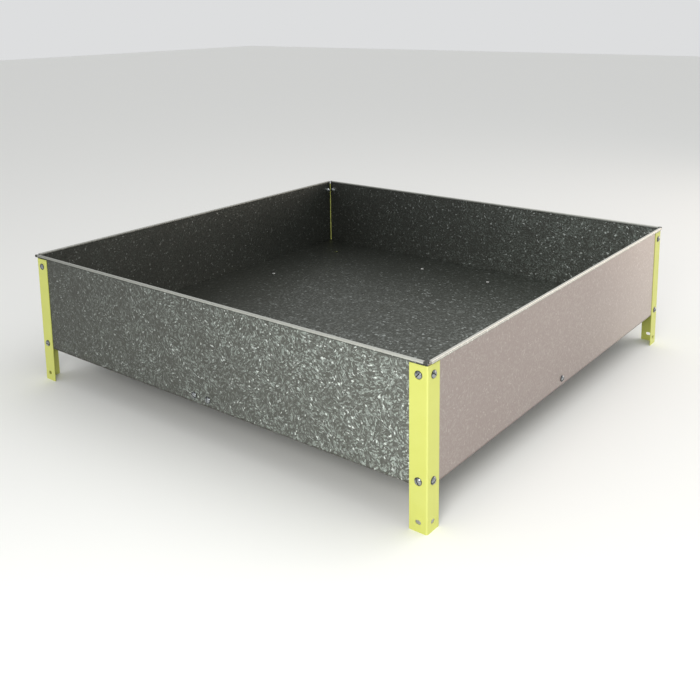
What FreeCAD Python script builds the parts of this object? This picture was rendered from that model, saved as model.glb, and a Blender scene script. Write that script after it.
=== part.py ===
import FreeCAD, Part
import math
import os

import Sketcher
from FreeCAD import Placement, Rotation, Vector

# A raised garden bed of sheet steel. Four galvanised panels with a folded-out rim
# stand between four powder-coated angle posts, which grip the panel corners from
# outside and carry them clear of the ground. Two trays with turned-down edges lie on
# the panels' bottom flanges and make the floor, and a hat section stiffens each tray.
# Slotted mushroom-head bolts and hex nuts hold it all together.
#
# Frame: X to the right along the front panel, Y to the back, Z up, with the origin on
# the ground under the middle of the bed. All sizes are in millimetres.

# Driving dimensions: the name, the size, and what it measures.
DIMENSIONS = (
    ("bed_width", 1200, "left to right over the panels' outer faces"),
    ("bed_depth", 1200, "front to back over the panels' outer faces"),
    ("ground_gap", 90, "from the ground to the panels' lower edge"),
    ("panel_height", 250, "from the panels' lower edge to the top of the rim"),
    ("panel_sheet", 1.0, "thickness of the panel sheet"),
    ("panel_bend", 0.5, "inside radius of the panel folds"),
    ("panel_end_gap", 0.1, "gap between a panel's end and the round of the post's fold"),
    ("rim_reach", 6, "how far the rim stands out from the panel"),
    ("rim_lip", 6, "height of the rim's turned-down lip"),
    ("front_rim_overrun", 2.5, "front and back lips run this far past the corner"),
    ("side_rim_setback", 6, "left and right lips stop this far short of the corner"),
    ("bottom_flange", 16, "reach of the bottom flange from the panel's outer face"),
    ("post_leg", 40, "width of a post's leg over the fold"),
    ("post_sheet", 1.5, "thickness of the post sheet"),
    ("post_bend", 2.5, "inside radius of the post's fold"),
    ("post_top_gap", 4, "gap between a post's top and the rim's lip"),
    ("bolt_line", 20, "from the post's outer corner to the line of its holes"),
    ("upper_bolt_drop", 20, "from the post's top to its upper bolts"),
    ("lower_bolt_rise", 12, "from the panels' lower edge to the lower post bolts"),
    ("mid_bolt_rise", 17, "from the panels' lower edge to the mid-panel bolts"),
    ("seam_bolt_offset", 22.3, "from the bed's middle to the bolts beside the seam"),
    ("side_bolt_offset", 27, "from the bed's middle to the bolt of a side panel"),
    ("anchor_slot_rise", 20, "from the ground to the posts' anchor slots"),
    ("anchor_slot_length", 12.5, "anchor slot, end to end"),
    ("anchor_slot_width", 8.5, "anchor slot, across"),
    ("tray_sheet", 1.0, "thickness of the tray sheet"),
    ("tray_bend", 0.5, "inside radius of the tray folds"),
    ("tray_edge", 31, "height of a tray's turned-down edge"),
    ("tray_return", 10, "width of the return under a tray's edge"),
    ("seam_gap", 0.6, "gap between the two trays"),
    ("drain_hole", 10, "diameter of a drain hole"),
    ("drain_edge", 120, "from a tray's edge to the nearest row of drain holes"),
    ("hat_sheet", 1.0, "thickness of the stiffener sheet"),
    ("hat_bend", 1.0, "inside radius of the stiffener folds"),
    ("hat_width", 40, "width of the stiffener over its two weld flanges"),
    ("hat_crown", 18, "outer width of the stiffener's crown"),
    ("hat_height", 22, "height of the stiffener"),
    ("hat_end_gap", 12, "gap between the stiffener's end and the tray's edge"),
    ("bolt_diameter", 7.8, "outer diameter of the bolt's thread"),
    ("bolt_length", 14, "length of the bolt under its head"),
    ("head_diameter", 16.5, "diameter of the mushroom head"),
    ("head_height", 4.0, "height of the mushroom head"),
    ("head_edge", 1.4, "straight edge under the head's shoulder"),
    ("crown_bevel", 1.0, "bevel between the head's shoulder and its crown"),
    ("driver_slot_width", 1.8, "screwdriver slot, across"),
    ("driver_slot_depth", 1.5, "screwdriver slot, depth"),
    ("nut_flats", 13, "nut, across flats"),
    ("nut_height", 6.5, "nut, height"),
    ("hole_clearance", 1.2, "how much wider a bolt hole is than the bolt"),
    ("thread_clearance", 0.2, "how much wider the nut's bore is than the bolt"),
)
DRAIN_ROWS = 4
DRAIN_COLUMNS = 2

# Bolts, nuts and bolt holes are so many that each round is drawn with flat sides.
HEAD_SIDES = 16
HOLE_SIDES = 8
NUT_SIDES = 6


class Size:
    """A length with its number and the sheet formula that it comes from."""

    def __init__(self, number, formula):
        self.number = number
        self.formula = formula

    def joined(self, sign, number, other):
        text = other.formula if isinstance(other, Size) else repr(other)
        return Size(number, "(" + self.formula + " " + sign + " " + text + ")")

    def __add__(self, other):
        return self.joined("+", self.number + number_of(other), other)

    def __sub__(self, other):
        return self.joined("-", self.number - number_of(other), other)

    def __mul__(self, other):
        return self.joined("*", self.number * number_of(other), other)

    def __truediv__(self, other):
        return self.joined("/", self.number / number_of(other), other)

    def __neg__(self):
        return Size(-self.number, "(0 - " + self.formula + ")")


def number_of(length):
    """The plain number of a Size, or of a number."""
    return length.number if isinstance(length, Size) else float(length)


# ---------------------------------------------------------------- document and sheet

document = FreeCAD.newDocument("raised_garden_bed")
sheet = document.addObject("Spreadsheet::Sheet", "sizes")
named = {}
for row, (name, length, meaning) in enumerate(DIMENSIONS, start=1):
    sheet.set("A" + str(row), meaning)
    sheet.set("B" + str(row), str(length))
    sheet.setAlias("B" + str(row), name)
    named[name] = Size(float(length), "sizes." + name)
document.recompute()

# Lengths that several pieces share.
half_width = named["bed_width"] / 2
half_depth = named["bed_depth"] / 2
panel_bottom = named["ground_gap"]
panel_top = panel_bottom + named["panel_height"]
post_length = panel_top - named["rim_lip"] - named["post_top_gap"]
upper_bolt_height = post_length - named["upper_bolt_drop"]
lower_bolt_height = panel_bottom + named["lower_bolt_rise"]
mid_bolt_height = panel_bottom + named["mid_bolt_rise"]
post_bolt_inset = named["bolt_line"] - named["post_sheet"]
tray_bottom = panel_bottom + named["panel_sheet"]
tray_top = tray_bottom + named["tray_edge"]

# How far a cutting outline reaches past the sheet that it cuts.
PAST = 2


# ---------------------------------------------------------------- sketches

def new_body(label):
    """A body that makes one sub-part; its label is the name of the part's file."""
    body = document.addObject("PartDesign::Body", label)
    body.Label = label
    return body


def new_sketch(body, role, name, offset=None):
    """A sketch on one of the body's own origin planes, moved along the plane's normal."""
    plane = [item for item in body.Origin.OriginFeatures if item.Role == role][0]
    sketch = body.newObject("Sketcher::SketchObject", name)
    sketch.AttachmentSupport = [(plane, "")]
    sketch.MapMode = "FlatFace"
    if offset is not None:
        sketch.setExpression(".AttachmentOffset.Base.z", offset.formula)
    return sketch


def sized(kind, length, *places):
    """A dimension and the formula that drives it."""
    return Sketcher.Constraint(kind, *places, number_of(length)), length.formula


def plain(kind, *places):
    """A constraint with no size."""
    return Sketcher.Constraint(kind, *places), None


def point_at(geometry, position, x, y):
    """The two constraints that hold a point at x, y; a plain 0 keeps it on the axis."""
    rules = []
    for kind, axis, length in (("DistanceX", -2, x), ("DistanceY", -1, y)):
        if isinstance(length, Size):
            rules.append(sized(kind, length, -1, 1, geometry, position))
        else:
            rules.append(plain("PointOnObject", geometry, position, axis))
    return rules


def constrain(sketch, rules):
    """Adds the rules to the sketch in one go, and binds their sizes to the sheet."""
    indexes = sketch.addConstraint([constraint for constraint, _ in rules])
    for index, (_, formula) in zip(indexes, rules):
        if formula is not None:
            sketch.setExpression("Constraints[" + str(index) + "]", formula)


def toward(start, end, distance):
    """The point at that distance from start on the way to end."""
    return start + (end - start).normalize() * distance


def corner_arc(before, corner, after, radius):
    """The arc of a rounded corner between two lines at a right angle.

    A sketch's arcs run anticlockwise, so the arc of a right turn is drawn backwards.
    """
    first = toward(corner, before, radius)
    last = toward(corner, after, radius)
    centre = first + last - corner
    middle = toward(centre, corner, radius)
    turns_left = (corner - before).cross(after - corner).z > 0
    arc = Part.Arc(first, middle, last) if turns_left else Part.Arc(last, middle, first)
    return arc, first, last, turns_left


def draw_outline(sketch, corners):
    """Draws a closed outline through corners (x, y) or rounded corners (x, y, radius).

    A line that ends in a rounded corner is level or upright.
    """
    count = len(corners)
    points = [Vector(number_of(c[0]), number_of(c[1]), 0) for c in corners]
    leaving = list(points)
    arriving = list(points)
    arcs = {}
    for i in range(count):
        if len(corners[i]) == 3:
            radius = number_of(corners[i][2])
            following = points[(i + 1) % count]
            rounded = corner_arc(points[i - 1], points[i], following, radius)
            arc, arriving[i], leaving[i], turns_left = rounded
            arcs[i] = (arc, turns_left)
    segments = [Part.LineSegment(leaving[i], arriving[(i + 1) % count]) for i in range(count)]
    lines = sketch.addGeometry(segments, False)
    rules = []
    for i in range(count):
        before = lines[i - 1]
        after = lines[i]
        if i not in arcs:
            rules.append(plain("Coincident", before, 2, after, 1))
            rules += point_at(after, 1, corners[i][0], corners[i][1])
            continue
        arc, turns_left = arcs[i]
        curve = sketch.addGeometry(arc, False)
        first_end, last_end = (1, 2) if turns_left else (2, 1)
        rules.append(plain("Tangent", before, 2, curve, first_end))
        rules.append(plain("Tangent", curve, last_end, after, 1))
        rules.append(sized("Radius", corners[i][2], curve))
    for i in range(count):
        following = (i + 1) % count
        if i not in arcs and following not in arcs:
            continue
        level = abs(points[i].y - points[following].y) < abs(points[i].x - points[following].x)
        rules.append(plain("Horizontal" if level else "Vertical", lines[i]))
        if i in arcs and following in arcs:
            kind, length = ("DistanceY", corners[i][1]) if level else ("DistanceX", corners[i][0])
            rules.append(sized(kind, length, -1, 1, lines[i], 1))
    constrain(sketch, rules)


def draw_circle(sketch, x, y, diameter):
    """Draws a circle with its centre at x, y."""
    middle = Vector(number_of(x), number_of(y), 0)
    circle = Part.Circle(middle, Vector(0, 0, 1), number_of(diameter) / 2)
    curve = sketch.addGeometry(circle, False)
    constrain(sketch, point_at(curve, 3, x, y) + [sized("Diameter", diameter, curve)])


def draw_polygon(sketch, x, y, diameter, sides):
    """Draws a regular polygon around x, y, with its diameter over the corners."""
    corners = []
    for i in range(sides):
        angle = 2 * math.pi * (i + 0.5) / sides
        corners.append((diameter * (math.cos(angle) / 2) + x, diameter * (math.sin(angle) / 2) + y))
    draw_outline(sketch, corners)


def draw_bolt_hole(sketch, x, y):
    """Draws the hole that a bolt goes through."""
    draw_polygon(sketch, x, y, named["bolt_diameter"] + named["hole_clearance"], HOLE_SIDES)


def draw_slot(sketch, x, y, length, width):
    """Draws a level slot with round ends, centred at x, y."""
    reach = (length - width) / 2
    radius = width / 2
    up = Vector(0, radius.number, 0)
    right = Vector(radius.number, 0, 0)
    centres = [Vector((x - reach).number, y.number, 0), Vector((x + reach).number, y.number, 0)]
    left_arc = Part.Arc(centres[0] + up, centres[0] - right, centres[0] - up)
    right_arc = Part.Arc(centres[1] - up, centres[1] + right, centres[1] + up)
    chain = [
        left_arc,
        Part.LineSegment(centres[0] - up, centres[1] - up),
        right_arc,
        Part.LineSegment(centres[1] + up, centres[0] + up),
    ]
    curves = sketch.addGeometry(chain, False)
    rules = [plain("Tangent", curves[i], 2, curves[(i + 1) % 4], 1) for i in range(4)]
    for curve, middle in ((curves[0], x - reach), (curves[2], x + reach)):
        rules += point_at(curve, 3, middle, y)
        rules.append(sized("Radius", radius, curve))
    constrain(sketch, rules)


# ---------------------------------------------------------------- features

def pad(body, sketch, length, backward=False, both_ways=False):
    """Extrudes the sketch along its normal, against it, or half each way."""
    feature = body.newObject("PartDesign::Pad", sketch.Name + "_pad")
    feature.Profile = sketch
    feature.setExpression("Length", length.formula)
    feature.Reversed = backward
    if both_ways:
        feature.SideType = "Symmetric"
    body.Tip = feature
    document.recompute()


def cut(body, sketch, depth=None, forward=False, both_ways=False):
    """Cuts the sketch out of the body, right through or to a depth.

    It cuts against the sketch's normal, or along it where forward is set. A cut that
    takes nothing away is a mistake, so the volumes are compared.
    """
    before = body.Shape.Volume
    feature = body.newObject("PartDesign::Pocket", sketch.Name + "_cut")
    feature.Profile = sketch
    if depth is None:
        feature.Type = "ThroughAll"
    else:
        feature.setExpression("Length", depth.formula)
    feature.Reversed = forward
    if both_ways:
        feature.SideType = "Symmetric"
    body.Tip = feature
    document.recompute()
    if not body.Shape.Volume < before:
        raise RuntimeError(body.Label + ": " + feature.Name + " cuts nothing")
    return feature


def mirror_left_right(body, features):
    """Repeats the features on the other side of the body's YZ plane."""
    before = body.Shape.Volume
    plane = [item for item in body.Origin.OriginFeatures if item.Role == "YZ_Plane"][0]
    mirror = body.newObject("PartDesign::Mirrored", "mirrored")
    mirror.Originals = features
    mirror.MirrorPlane = (plane, [""])
    body.Tip = mirror
    document.recompute()
    if not body.Shape.Volume < before:
        raise RuntimeError(body.Label + ": the mirrored cuts take nothing away")


def turn(item, angle, x=None, y=None):
    """Turns an object about Z and binds its place to the sheet."""
    item.Placement = Placement(Vector(0, 0, 0), Rotation(Vector(0, 0, 1), angle))
    if x is not None:
        item.setExpression(".Placement.Base.x", x.formula)
    if y is not None:
        item.setExpression(".Placement.Base.y", y.formula)


# ---------------------------------------------------------------- panels

def make_panel(label, angle, half_length, offset, rim_end, mid_holes):
    """One folded panel, drawn as the front panel and turned into its place.

    The web's outer face lies at y = -offset. The fold at the top goes out and down
    again, and the one at the bottom goes inwards and carries the trays.
    """
    gauge = named["panel_sheet"]
    inner_bend = named["panel_bend"]
    outer_bend = inner_bend + gauge
    outer = -offset
    inner = outer + gauge
    lip = outer - named["rim_reach"]
    lip_bottom = panel_top - named["rim_lip"]
    flange_edge = outer + named["bottom_flange"]
    body = new_body(label)

    profile = new_sketch(body, "YZ_Plane", label + "_profile")
    draw_outline(profile, (
        (lip, lip_bottom),
        (lip, panel_top, outer_bend),
        (inner, panel_top, outer_bend),
        (inner, panel_bottom + gauge, inner_bend),
        (flange_edge, panel_bottom + gauge),
        (flange_edge, panel_bottom),
        (outer, panel_bottom, outer_bend),
        (outer, panel_top - gauge, inner_bend),
        (lip + gauge, panel_top - gauge, inner_bend),
        (lip + gauge, lip_bottom),
    ))
    overall = half_length + named["rim_reach"]
    pad(body, profile, overall * 2, both_ways=True)

    # The web ends just short of the round of the post's fold; the rim goes on past it.
    web_end = half_length - named["post_bend"] - named["panel_end_gap"]
    past_end = overall + PAST
    web_trim = new_sketch(body, "XZ_Plane", label + "_web_end")
    below = panel_bottom - PAST
    above = panel_top - outer_bend
    draw_outline(web_trim, ((web_end, below), (past_end, below), (past_end, above), (web_end, above)))
    web_cut = cut(body, web_trim, depth=offset, forward=True)

    # Seen from above, rim and bottom flange are cut on the slant to clear the next panel.
    flange_end = web_end - (flange_edge - inner)
    mitres = new_sketch(body, "XY_Plane", label + "_mitres")
    draw_outline(mitres, (
        (web_end, outer),
        (rim_end, lip),
        (rim_end, lip - PAST),
        (past_end, lip - PAST),
        (past_end, flange_edge + PAST),
        (flange_end, flange_edge + PAST),
        (flange_end, flange_edge),
        (web_end, inner),
    ))
    mitre_cut = cut(body, mitres, forward=True)
    mirror_left_right(body, [web_cut, mitre_cut])

    holes = new_sketch(body, "XZ_Plane", label + "_holes")
    post_holes = half_length - post_bolt_inset
    for x in (-post_holes, post_holes):
        for height in (lower_bolt_height, upper_bolt_height):
            draw_bolt_hole(holes, x, height)
    for x in mid_holes:
        draw_bolt_hole(holes, x, mid_bolt_height)
    cut(body, holes, forward=True)
    turn(body, angle)
    return body


def make_panels():
    """The front and back panels, and the left and right ones."""
    seam = named["seam_bolt_offset"]
    long_rim = half_width + named["front_rim_overrun"]
    short_rim = half_depth - named["side_rim_setback"]
    side = -named["side_bolt_offset"]
    return [
        make_panel("panel_front", 0, half_width, half_depth, long_rim, (-seam, seam)),
        make_panel("panel_right", 90, half_depth, half_width, short_rim, (side,)),
        make_panel("panel_back", 180, half_width, half_depth, long_rim, (-seam, seam)),
        make_panel("panel_left", 270, half_depth, half_width, short_rim, (side,)),
    ]


# ---------------------------------------------------------------- posts

def make_post(label, angle, x, y):
    """One angle post, drawn for the front right corner and turned into its place.

    Its own origin is the inside corner, where the two panels' outer faces meet.
    """
    gauge = named["post_sheet"]
    inner_bend = named["post_bend"]
    leg = named["post_leg"] - gauge
    body = new_body(label)
    section = new_sketch(body, "XY_Plane", label + "_section")
    draw_outline(section, (
        (gauge, -gauge, inner_bend + gauge),
        (gauge, leg),
        (0, leg),
        (0, 0, inner_bend),
        (-leg, 0),
        (-leg, -gauge),
    ))
    pad(body, section, post_length)
    for role, place in (("XZ_Plane", -post_bolt_inset), ("YZ_Plane", post_bolt_inset)):
        holes = new_sketch(body, role, label + "_holes_" + role[:2].lower())
        draw_bolt_hole(holes, place, lower_bolt_height)
        draw_bolt_hole(holes, place, upper_bolt_height)
        slot_height = named["anchor_slot_rise"]
        draw_slot(holes, place, slot_height, named["anchor_slot_length"], named["anchor_slot_width"])
        cut(body, holes, both_ways=True)
    turn(body, angle, x, y)
    return body


# Each corner: its name, the turn from the front right corner, and its place.
CORNERS = (
    ("front_right", 0, half_width, -half_depth),
    ("back_right", 90, half_width, half_depth),
    ("back_left", 180, -half_width, half_depth),
    ("front_left", 270, -half_width, -half_depth),
)


# ---------------------------------------------------------------- floor

def draw_rectangle(sketch, left, right, front, back):
    """Draws a rectangle between four lengths."""
    draw_outline(sketch, ((left, front), (right, front), (right, back), (left, back)))


def round_edges(body, heights, radius):
    """Rounds every straight outer edge of the body that lies level at these heights."""
    base = body.Tip
    names = []
    for index, edge in enumerate(base.Shape.Edges, start=1):
        ends = [vertex.Point.z for vertex in edge.Vertexes]
        for height in heights:
            if all(abs(z - height.number) < 1e-6 for z in ends):
                names.append("Edge" + str(index))
    fillet = body.newObject("PartDesign::Fillet", "folds")
    fillet.Base = (base, names)
    fillet.setExpression("Radius", radius.formula)
    body.Tip = fillet
    document.recompute()


def make_tray(label, angle):
    """One floor tray, drawn as the right one and turned into its place.

    Its edges are turned down and in again, so that it stands on the panels' flanges.
    """
    gauge = named["tray_sheet"]
    left = named["seam_gap"] / 2
    right = half_width - named["panel_sheet"]
    back = half_depth - named["panel_sheet"]
    body = new_body(label)
    block = new_sketch(body, "XY_Plane", label + "_outside", tray_bottom)
    draw_rectangle(block, left, right, -back, back)
    pad(body, block, named["tray_edge"])
    round_edges(body, (tray_bottom, tray_top), named["tray_bend"] + gauge)

    hollow = new_sketch(body, "XY_Plane", label + "_inside", tray_bottom + gauge)
    draw_rectangle(hollow, left + gauge, right - gauge, gauge - back, back - gauge)
    cut(body, hollow, depth=named["tray_edge"] - gauge * 2, forward=True)
    mouth = new_sketch(body, "XY_Plane", label + "_mouth", tray_bottom)
    margin = named["tray_return"]
    draw_rectangle(mouth, left + margin, right - margin, margin - back, back - margin)
    cut(body, mouth, depth=gauge, forward=True)

    end_holes = new_sketch(body, "XZ_Plane", label + "_end_holes")
    draw_bolt_hole(end_holes, half_width - post_bolt_inset, lower_bolt_height)
    draw_bolt_hole(end_holes, named["seam_bolt_offset"], mid_bolt_height)
    cut(body, end_holes, both_ways=True)
    side_holes = new_sketch(body, "YZ_Plane", label + "_side_holes", right)
    for y in (post_bolt_inset - half_depth, half_depth - post_bolt_inset):
        draw_bolt_hole(side_holes, y, lower_bolt_height)
    draw_bolt_hole(side_holes, -named["side_bolt_offset"], mid_bolt_height)
    cut(body, side_holes, depth=named["tray_return"])

    drains = new_sketch(body, "XY_Plane", label + "_drains")
    edge = named["drain_edge"]
    across = (right - left - edge * 2) / (DRAIN_COLUMNS - 1)
    along = (back - edge) * 2 / (DRAIN_ROWS - 1)
    for column in range(DRAIN_COLUMNS):
        for step in range(DRAIN_ROWS):
            x = left + edge + across * column
            y = edge - back + along * step
            draw_circle(drains, x, y, named["drain_hole"])
    cut(body, drains, forward=True)
    turn(body, angle)
    return body


def make_stiffener(label, angle):
    """A hat section under the middle of a tray, from the seam to the side."""
    gauge = named["hat_sheet"]
    inner_bend = named["hat_bend"]
    outer_bend = inner_bend + gauge
    edge = named["hat_width"] / 2
    crown = named["hat_crown"] / 2
    top = tray_top - named["tray_sheet"]
    bottom = top - named["hat_height"]
    margin = named["tray_sheet"] + named["hat_end_gap"]
    start = named["seam_gap"] / 2 + margin
    end = half_width - named["panel_sheet"] - margin
    body = new_body(label)
    profile = new_sketch(body, "YZ_Plane", label + "_profile", start)
    draw_outline(profile, (
        (-edge, top),
        (gauge - crown, top, outer_bend),
        (gauge - crown, bottom + gauge, inner_bend),
        (crown - gauge, bottom + gauge, inner_bend),
        (crown - gauge, top, outer_bend),
        (edge, top),
        (edge, top - gauge),
        (crown, top - gauge, inner_bend),
        (crown, bottom, outer_bend),
        (-crown, bottom, outer_bend),
        (-crown, top - gauge, inner_bend),
        (-edge, top - gauge),
    ))
    pad(body, profile, end - start)
    turn(body, angle)
    return body


# ---------------------------------------------------------------- fasteners

def bevel_top(body, height, size, name):
    """Bevels the edges round the flat top of a bolt head, which is at Y = -height."""
    base = body.Tip
    top = []
    for index, edge in enumerate(base.Shape.Edges, start=1):
        if all(abs(vertex.Point.y + height.number) < 1e-6 for vertex in edge.Vertexes):
            top.append("Edge" + str(index))
    bevel = body.newObject("PartDesign::Chamfer", name)
    bevel.Base = (base, top)
    bevel.setExpression("Size", size.formula)
    body.Tip = bevel
    document.recompute()


def make_bolt():
    """The bolt that every fastener group repeats: head at -Y, shank along +Y."""
    height = named["head_height"]
    head = named["head_diameter"]
    body = new_body("bolt_pattern_piece")
    disc = new_sketch(body, "XZ_Plane", "head_disc")
    draw_polygon(disc, 0, 0, head, HEAD_SIDES)
    pad(body, disc, height)
    bevel_top(body, height, height - named["head_edge"], "head_shoulder")
    bevel_top(body, height, named["crown_bevel"], "head_crown")

    shank = new_sketch(body, "XZ_Plane", "shank")
    draw_polygon(shank, 0, 0, named["bolt_diameter"], HOLE_SIDES)
    pad(body, shank, named["bolt_length"], backward=True)
    driver = new_sketch(body, "XZ_Plane", "driver_slot", height)
    half_slot = named["driver_slot_width"] / 2
    draw_rectangle(driver, -(head / 2), head / 2, -half_slot, half_slot)
    cut(body, driver, depth=named["driver_slot_depth"])
    return body


def make_nut():
    """The hex nut that every nut group repeats: bearing face at y = 0, body along +Y."""
    body = new_body("nut_pattern_piece")
    hexagon = new_sketch(body, "XZ_Plane", "hexagon")
    draw_polygon(hexagon, 0, 0, named["nut_flats"] / math.cos(math.pi / NUT_SIDES), NUT_SIDES)
    pad(body, hexagon, named["nut_height"], backward=True)
    bore = new_sketch(body, "XZ_Plane", "nut_bore")
    draw_polygon(bore, 0, 0, named["bolt_diameter"] + named["thread_clearance"], HOLE_SIDES)
    cut(body, bore, both_ways=True)
    return body


def facing(angle, across, outward, height):
    """A place on the side that is turned by angle: along it, out from it, and up."""
    if angle == 0:
        return across, -outward, height
    if angle == 90:
        return outward, across, height
    if angle == 180:
        return -across, outward, height
    return -outward, -across, height


def make_group(label, piece, places):
    """One node that holds a copy of a fastener at each place (angle, x, y, z)."""
    copies = []
    for number, (angle, place) in enumerate(places, start=1):
        link = document.addObject("App::Link", label + "_" + str(number))
        link.LinkedObject = piece
        link.Placement = Placement(Vector(0, 0, 0), Rotation(Vector(0, 0, 1), angle))
        for axis, length in zip("xyz", place):
            link.setExpression(".Placement.Base." + axis, length.formula)
        copies.append(link)
    group = document.addObject("Part::Compound", label)
    group.Label = label
    group.Links = copies
    return group


def side_sizes(angle):
    """The half length of a side's panel, and how far out its outer face lies."""
    return (half_width, half_depth) if angle in (0, 180) else (half_depth, half_width)


def fastener_places(angle, across, outward, height, layers):
    """Where a bolt and its nut go: the bolt's seat, and the nut behind the layers."""
    inward = outward
    for layer in layers:
        inward = inward - layer
    bolt = (angle, facing(angle, across, outward, height))
    nut = (angle, facing(angle, across, inward, height))
    return bolt, nut


def make_fasteners():
    """The bolts and nuts of each post, and of the middle of each panel."""
    bolt = make_bolt()
    nut = make_nut()
    upper = (named["post_sheet"], named["panel_sheet"])
    lower = upper + (named["tray_sheet"],)
    groups = []
    for corner, turned, _, _ in CORNERS:
        pairs = []
        # A post's first leg lies on its own side's right end, its second on the
        # next side's left end.
        for angle, hand in ((turned, 1), ((turned + 90) % 360, -1)):
            half_length, offset = side_sizes(angle)
            across = (half_length - post_bolt_inset) * hand
            outward = offset + named["post_sheet"]
            pairs.append(fastener_places(angle, across, outward, lower_bolt_height, lower))
            pairs.append(fastener_places(angle, across, outward, upper_bolt_height, upper))
        groups.append(make_group("post_bolts_" + corner, bolt, [pair[0] for pair in pairs]))
        groups.append(make_group("post_nuts_" + corner, nut, [pair[1] for pair in pairs]))
    seam = named["seam_bolt_offset"]
    side = named["side_bolt_offset"]
    layers = (named["panel_sheet"], named["tray_sheet"])
    middles = (
        ("front", 0, (-seam, seam)),
        ("right", 90, (-side,)),
        ("back", 180, (-seam, seam)),
        ("left", 270, (-side,)),
    )
    for name, angle, offsets in middles:
        offset = side_sizes(angle)[1]
        pairs = [fastener_places(angle, x, offset, mid_bolt_height, layers) for x in offsets]
        groups.append(make_group("mid_bolts_" + name, bolt, [pair[0] for pair in pairs]))
        groups.append(make_group("mid_nuts_" + name, nut, [pair[1] for pair in pairs]))
    return groups


# ---------------------------------------------------------------- the bed

def make_bed():
    """Builds every sub-part of the bed."""
    parts = make_panels()
    for corner, angle, x, y in CORNERS:
        parts.append(make_post("corner_post_" + corner, angle, x, y))
    for name, angle in (("right", 0), ("left", 180)):
        parts.append(make_tray("floor_tray_" + name, angle))
        parts.append(make_stiffener("tray_stiffener_" + name, angle))
    return parts + make_fasteners()


def write_parts(parts):
    """Checks every object of the document, then writes each sub-part to its file."""
    document.recompute()
    for item in document.Objects:
        if "Invalid" in item.State or "Error" in item.State:
            raise RuntimeError(item.Label + " failed to build")
    for part in parts:
        if part.Shape.isNull() or not part.Shape.isValid():
            raise RuntimeError(part.Label + " has no valid shape")
    os.makedirs("parts", exist_ok=True)
    for part in parts:
        part.Shape.exportStep("parts/" + part.Label + ".step")
        print(part.Label, len(part.Shape.Solids), "solids", round(part.Shape.Volume), "mm3")


write_parts(make_bed())
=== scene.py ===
"""Looks of a raised garden bed: galvanised sheet panels bolted to lime corner posts."""

import logging
import math
from dataclasses import dataclass, field
from enum import Enum

import bmesh
import bpy
import numpy as np
from mathutils import Matrix, Vector


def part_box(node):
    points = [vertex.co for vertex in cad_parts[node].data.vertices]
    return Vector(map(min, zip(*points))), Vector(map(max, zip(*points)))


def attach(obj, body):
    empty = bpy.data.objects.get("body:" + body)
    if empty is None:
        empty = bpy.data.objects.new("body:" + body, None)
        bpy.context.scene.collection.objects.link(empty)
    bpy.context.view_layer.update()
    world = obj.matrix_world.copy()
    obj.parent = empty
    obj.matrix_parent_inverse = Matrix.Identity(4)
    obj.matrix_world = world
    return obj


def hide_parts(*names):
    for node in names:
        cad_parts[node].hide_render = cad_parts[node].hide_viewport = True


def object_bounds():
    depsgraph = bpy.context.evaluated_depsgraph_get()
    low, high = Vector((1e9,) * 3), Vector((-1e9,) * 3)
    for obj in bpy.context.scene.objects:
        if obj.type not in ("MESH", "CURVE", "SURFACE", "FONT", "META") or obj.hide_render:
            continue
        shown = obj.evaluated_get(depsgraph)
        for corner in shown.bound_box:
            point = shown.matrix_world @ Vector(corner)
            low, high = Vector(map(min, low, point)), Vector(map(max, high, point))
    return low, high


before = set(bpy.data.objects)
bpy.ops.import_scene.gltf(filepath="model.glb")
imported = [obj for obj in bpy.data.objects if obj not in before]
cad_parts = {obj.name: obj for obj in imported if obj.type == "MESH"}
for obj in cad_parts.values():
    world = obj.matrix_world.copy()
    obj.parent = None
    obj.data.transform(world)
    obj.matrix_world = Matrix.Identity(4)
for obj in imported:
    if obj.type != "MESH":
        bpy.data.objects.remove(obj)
cad_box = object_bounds()

log = logging.getLogger("garden_bed")

MM = 0.001
BODY = "root"
RIM_REACH = 6.0 * MM  # How far the rims stand out from the panels.
RIM_TOP = cad_box[1][2]
PANEL_FACE = cad_box[1][0] - RIM_REACH  # From the bed's middle to a panel's outer face.
GROUND_GAP = 90.0 * MM  # From the ground to the panels' lower edges.
PANEL_SHEET = 1.0 * MM  # Thickness of a panel.
WELD_REACH = 0.002 * MM  # Points closer than this become one.
NOISE_SPAN = (0.3, 0.7)  # Nearly all of a noise's values lie between these.
MIDDLE_GREY = (0.5, 0.5, 0.5)  # The mean of a random colour.

Node = bpy.types.Node
Socket = bpy.types.NodeSocket
Point = tuple[float, float, float]
Span = tuple[float, float]


# ---------------------------------------------------------------------- colours and nodes


def linear(hex_colour: str) -> tuple[float, float, float, float]:
    """Turns an sRGB hex colour into the linear colour that the shaders take.

    Args:
        hex_colour: A colour such as "#D6DE52".

    Returns:
        Linear red, green and blue, and an alpha of one.
    """
    channels = [int(hex_colour[i : i + 2], 16) / 255 for i in (1, 3, 5)]
    low = [c / 12.92 if c <= 0.04045 else ((c + 0.055) / 1.055) ** 2.4 for c in channels]
    return (low[0], low[1], low[2], 1.0)


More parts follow.
